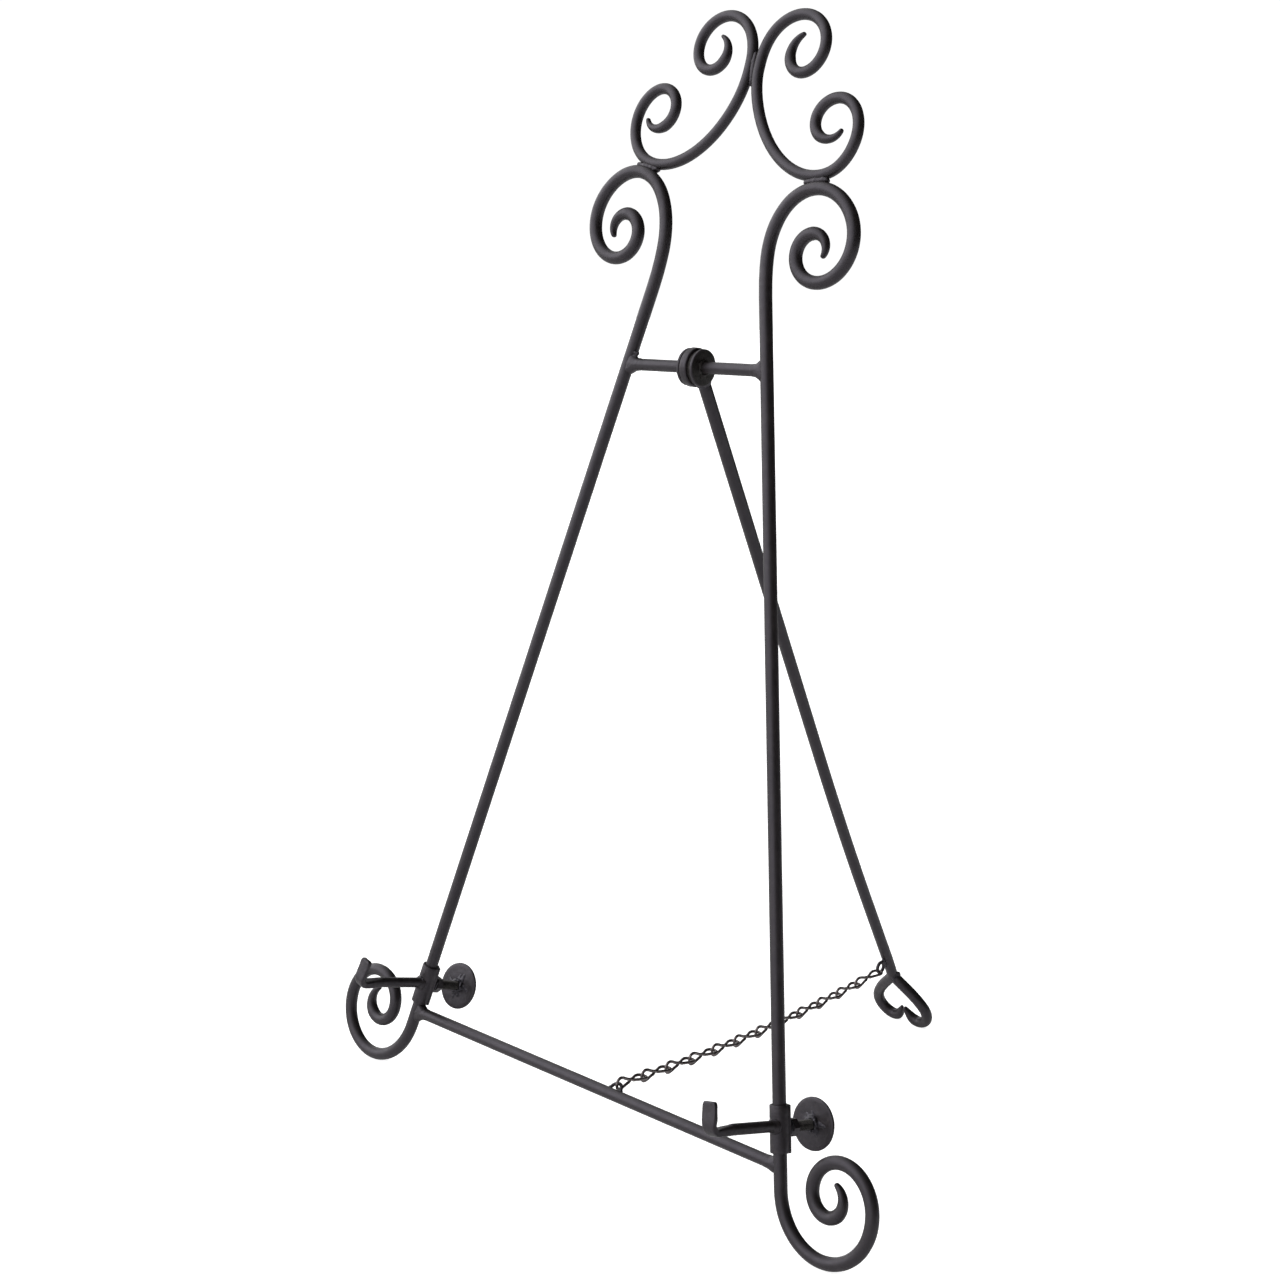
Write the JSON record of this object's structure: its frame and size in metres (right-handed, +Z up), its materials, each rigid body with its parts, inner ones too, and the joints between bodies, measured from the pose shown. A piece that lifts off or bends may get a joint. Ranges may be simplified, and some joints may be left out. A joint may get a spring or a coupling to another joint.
{
  "type": "display easel",
  "caption": "Folding table-top display easel of bent black rod: scrolled A-frame, hinged back leg held by a chain, and sliding hooks locked by thumb screws.",
  "frame": {"origin": "centre of the bounding box at the surface the easel stands on", "axes": "+X to the right seen from the front, -Y to the front where the hooks are, +Z up"},
  "size_m": [0.3654, 0.3334, 0.5661],
  "materials": {
    "black_coat": "satin black powder coat over bent steel rod",
    "black_steel": "satin black powder coat over turned and forged steel, edges a little worn",
    "weld_coat": "satin black coat over lumpy weld",
    "chain_wire": "dark bronzed steel wire"
  },
  "bodies": {
    "frame": {"left_leg_rod": "black_coat", "right_leg_rod": "black_coat", "left_crest_scroll": "black_coat", "right_crest_scroll": "black_coat", "crest_centre_weld": "weld_coat", "left_crest_weld": "weld_coat", "right_crest_weld": "weld_coat", "lower_crossbar": "black_coat", "lower_crossbar_left_weld": "weld_coat", "lower_crossbar_right_weld": "weld_coat", "hinge_crossbar": "black_coat", "hinge_crossbar_left_weld": "weld_coat", "hinge_crossbar_right_weld": "weld_coat", "left_stop_washer": "black_steel", "right_stop_washer": "black_steel", "chain_staple": "black_steel"},
    "back_leg": {"hinge_barrel": "black_steel", "back_leg_rod": "black_coat", "heart_right_lobe": "black_coat", "heart_weld": "weld_coat", "barrel_weld": "weld_coat", "leg_eye": "black_steel"},
    "chain_01": {"chain_link_01": "chain_wire"},
    "chain_02": {"chain_link_02": "chain_wire"},
    "chain_03": {"chain_link_03": "chain_wire"},
    "chain_04": {"chain_link_04": "chain_wire"},
    "chain_05": {"chain_link_05": "chain_wire"},
    "chain_06": {"chain_link_06": "chain_wire"},
    "chain_07": {"chain_link_07": "chain_wire"},
    "chain_08": {"chain_link_08": "chain_wire"},
    "chain_09": {"chain_link_09": "chain_wire"},
    "chain_10": {"chain_link_10": "chain_wire"},
    "chain_11": {"chain_link_11": "chain_wire"},
    "chain_12": {"chain_link_12": "chain_wire"},
    "left_hook": {"left_sleeve": "black_steel", "left_hook_arm": "black_coat", "left_clamp_nut": "black_steel", "left_nut_weld": "weld_coat"},
    "left_screw_stem": {"left_screw_stem": "black_steel"},
    "left_thumb_disc": {"left_thumb_disc": "black_steel", "left_disc_weld": "weld_coat"},
    "right_hook": {"right_sleeve": "black_steel", "right_hook_arm": "black_coat", "right_clamp_nut": "black_steel", "right_nut_weld": "weld_coat"},
    "right_screw_stem": {"right_screw_stem": "black_steel"},
    "right_thumb_disc": {"right_thumb_disc": "black_steel", "right_disc_weld": "weld_coat"}
  },
  "joints": [
    {"name": "leg_fold", "type": "hinge", "parent": "frame", "child": "back_leg", "pos_m": [-0.00023, -0.07506, 0.39333], "axis": [1, 0, 0], "range_deg": [-37.3, 0]},
    {"name": "chain_pivot_01", "type": "hinge", "parent": "frame", "child": "chain_01", "pos_m": [0.01877, -0.11578, 0.04035], "axis": [1, 0, 0], "range_deg": [-25.5, 0.5]},
    {"name": "chain_pivot_02", "type": "hinge", "parent": "chain_01", "child": "chain_02", "pos_m": [0.01718, -0.09563, 0.03882], "axis": [1, 0, 0], "range_deg": [-26.5, 0.5]},
    {"name": "chain_pivot_03", "type": "hinge", "parent": "chain_02", "child": "chain_03", "pos_m": [0.0156, -0.07547, 0.03755], "axis": [1, 0, 0], "range_deg": [-19.5, 0.5]},
    {"name": "chain_pivot_04", "type": "hinge", "parent": "chain_03", "child": "chain_04", "pos_m": [0.01402, -0.05528, 0.03655], "axis": [1, 0, 0], "range_deg": [-30.5, 0.5]},
    {"name": "chain_pivot_05", "type": "hinge", "parent": "chain_04", "child": "chain_05", "pos_m": [0.01243, -0.03509, 0.03581], "axis": [1, 0, 0], "range_deg": [-8.5, 0.5]},
    {"name": "chain_pivot_06", "type": "hinge", "parent": "chain_05", "child": "chain_06", "pos_m": [0.01085, -0.01489, 0.03534], "axis": [1, 0, 0], "range_deg": [-4.5, 0.5]},
    {"name": "chain_pivot_07", "type": "hinge", "parent": "chain_06", "child": "chain_07", "pos_m": [0.00927, 0.00532, 0.03513], "axis": [1, 0, 0], "range_deg": [-4.5, 0.5]},
    {"name": "chain_pivot_08", "type": "hinge", "parent": "chain_07", "child": "chain_08", "pos_m": [0.00768, 0.02552, 0.03519], "axis": [1, 0, 0], "range_deg": [-57.5, 0.5]},
    {"name": "chain_pivot_09", "type": "hinge", "parent": "chain_08", "child": "chain_09", "pos_m": [0.0061, 0.04573, 0.03552], "axis": [1, 0, 0], "range_deg": [-45.5, 0.5]},
    {"name": "chain_pivot_10", "type": "hinge", "parent": "chain_09", "child": "chain_10", "pos_m": [0.00452, 0.06593, 0.03611], "axis": [1, 0, 0], "range_deg": [-48.5, 0.5]},
    {"name": "chain_pivot_11", "type": "hinge", "parent": "chain_10", "child": "chain_11", "pos_m": [0.00293, 0.08611, 0.03697], "axis": [1, 0, 0], "range_deg": [-13.5, 0.5]},
    {"name": "chain_pivot_12", "type": "hinge", "parent": "chain_11", "child": "chain_12", "pos_m": [0.00135, 0.10629, 0.0381], "axis": [1, 0, 0], "range_deg": [-7.5, 0.5]},
    {"name": "left_hook_slide", "type": "slide", "parent": "frame", "child": "left_hook", "axis": [0.2216, 0.1247, 0.9671], "range_m": [0, 0.32]},
    {"name": "left_screw_travel", "type": "slide", "parent": "left_hook", "child": "left_screw_stem", "axis": [-0.0347, 0.9601, -0.2776], "range_m": [0, 0.0025]},
    {"name": "left_screw_turn", "type": "hinge", "parent": "left_screw_stem", "child": "left_thumb_disc", "pos_m": [-0.12379, -0.09463, 0.04448], "axis": [-0.0347, 0.9601, -0.2776], "range_deg": [0, 1080]},
    {"name": "right_hook_slide", "type": "slide", "parent": "frame", "child": "right_hook", "axis": [-0.2216, 0.1247, 0.9671], "range_m": [0, 0.32]},
    {"name": "right_screw_travel", "type": "slide", "parent": "right_hook", "child": "right_screw_stem", "axis": [0.0759, 0.985, -0.1547], "range_m": [0, 0.0025]},
    {"name": "right_screw_turn", "type": "hinge", "parent": "right_screw_stem", "child": "right_thumb_disc", "pos_m": [0.12369, -0.09618, 0.05018], "axis": [0.0759, 0.985, -0.1547], "range_deg": [0, 1080]}
  ],
  "couplings": [
    {"joint": "chain_pivot_01", "follows": "leg_fold", "ratio": 0.6702},
    {"joint": "chain_pivot_02", "follows": "leg_fold", "ratio": 0.6971},
    {"joint": "chain_pivot_03", "follows": "leg_fold", "ratio": 0.5094},
    {"joint": "chain_pivot_04", "follows": "leg_fold", "ratio": 0.8043},
    {"joint": "chain_pivot_05", "follows": "leg_fold", "ratio": 0.2145},
    {"joint": "chain_pivot_06", "follows": "leg_fold", "ratio": 0.1072},
    {"joint": "chain_pivot_07", "follows": "leg_fold", "ratio": 0.1072},
    {"joint": "chain_pivot_08", "follows": "leg_fold", "ratio": 1.5282},
    {"joint": "chain_pivot_09", "follows": "leg_fold", "ratio": 1.2064},
    {"joint": "chain_pivot_10", "follows": "leg_fold", "ratio": 1.2869},
    {"joint": "chain_pivot_11", "follows": "leg_fold", "ratio": 0.3485},
    {"joint": "chain_pivot_12", "follows": "leg_fold", "ratio": 0.1877},
    {"joint": "left_screw_travel", "follows": "left_screw_turn", "m_per_rad": 0.00012732},
    {"joint": "right_screw_travel", "follows": "right_screw_turn", "m_per_rad": 0.00012732}
  ]
}
